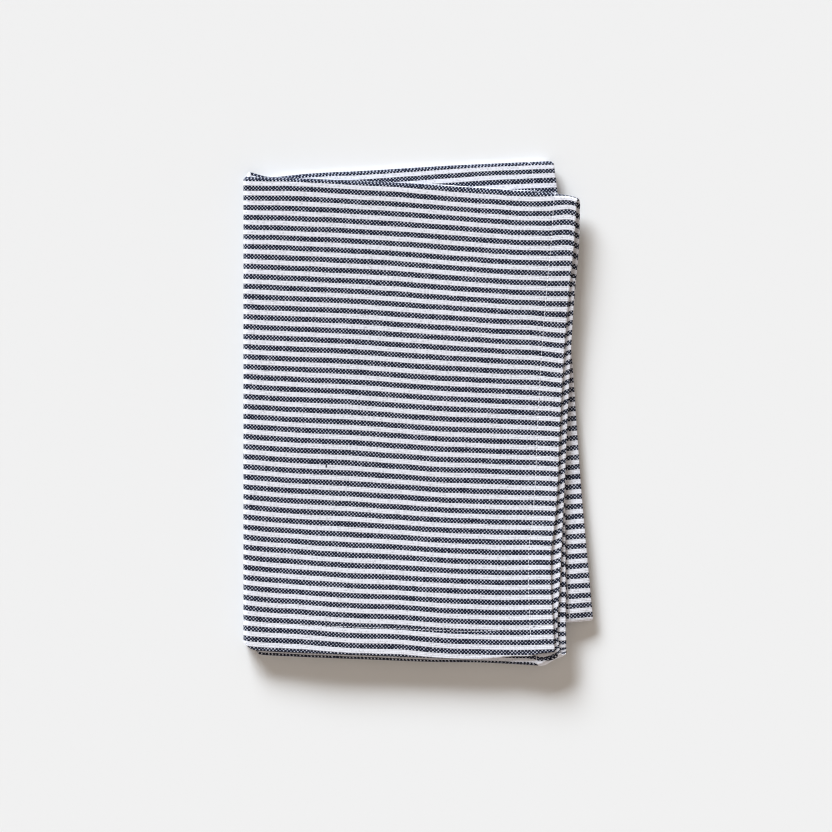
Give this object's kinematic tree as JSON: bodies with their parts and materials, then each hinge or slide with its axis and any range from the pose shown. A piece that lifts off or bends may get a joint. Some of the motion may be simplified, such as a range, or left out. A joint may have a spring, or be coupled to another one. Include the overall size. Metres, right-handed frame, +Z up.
{
  "type": "tea towel",
  "caption": "Woven cotton tea towel with fine navy and white stripes and sewn hems, folded into a flat packet whose layers step back at the open side.",
  "frame": {"origin": "middle of the packet's bounding box, on the surface that it lies on", "axes": "+Z up; +Y along the packet towards its top fold; +X away from the half fold, towards the side hems"},
  "size_m": [0.2664, 0.383, 0.0184],
  "materials": {
    "striped_cotton": "coarse plain weave, matt, navy and white thread stripes"
  },
  "bodies": {
    "root": {"towel_cloth": "striped_cotton"}
  },
  "joints": []
}
